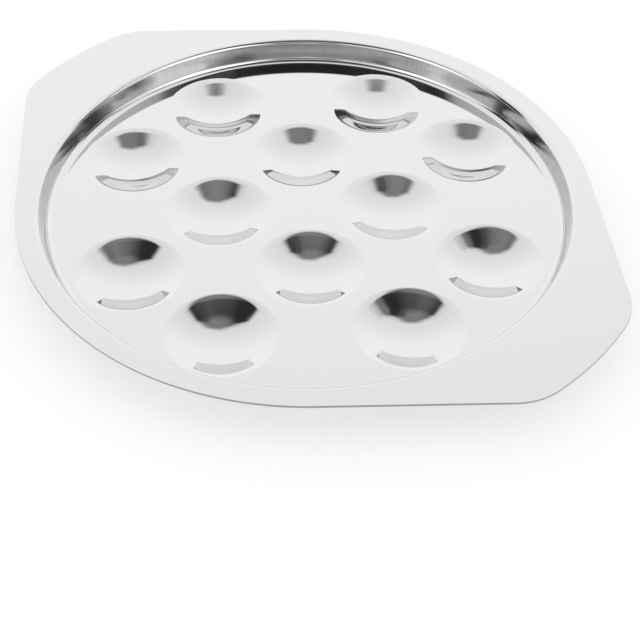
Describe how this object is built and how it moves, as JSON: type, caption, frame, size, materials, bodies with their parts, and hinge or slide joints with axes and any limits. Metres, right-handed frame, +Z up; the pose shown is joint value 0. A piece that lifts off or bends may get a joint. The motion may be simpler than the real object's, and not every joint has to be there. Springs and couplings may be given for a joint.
{
  "type": "escargot plate",
  "caption": "Round snail dish pressed from one steel sheet: a shallow well with round dimples in its floor, a flat rim and two flat ears to lift it by.",
  "frame": {"origin": "centre of the plate in plan, at the level of the surface it stands on", "axes": "+X from the centre towards one ear, +Y level and square to it, +Z up"},
  "size_m": [0.247, 0.205, 0.0146],
  "materials": {
    "steel": "mirror polished stainless steel"
  },
  "bodies": {
    "root": {"plate": "steel"}
  },
  "joints": []
}
